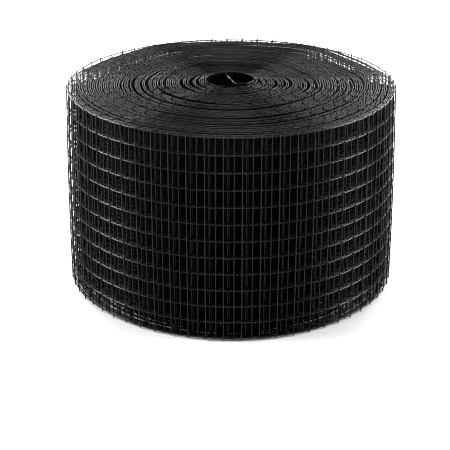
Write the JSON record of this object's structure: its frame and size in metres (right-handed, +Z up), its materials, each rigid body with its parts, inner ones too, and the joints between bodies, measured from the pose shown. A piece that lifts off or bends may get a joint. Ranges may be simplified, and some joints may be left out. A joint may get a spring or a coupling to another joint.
{
  "type": "roll of wire mesh guard",
  "caption": "Black plastic-coated welded wire mesh strip with square cells, wound into a roll that stands on its end, with a free inner end hooked into the centre hole.",
  "frame": {"origin": "on the surface that the roll stands on, under the middle of the roll", "axes": "+Z up along the roll's axis, +Y away from the viewer, +X to the viewer's right"},
  "size_m": [0.2496, 0.2489, 0.1574],
  "materials": {
    "coated_wire": "satin black plastic coating over steel wire"
  },
  "bodies": {
    "root": {"wound_roll": "coated_wire", "inner_end": "coated_wire"}
  },
  "joints": []
}
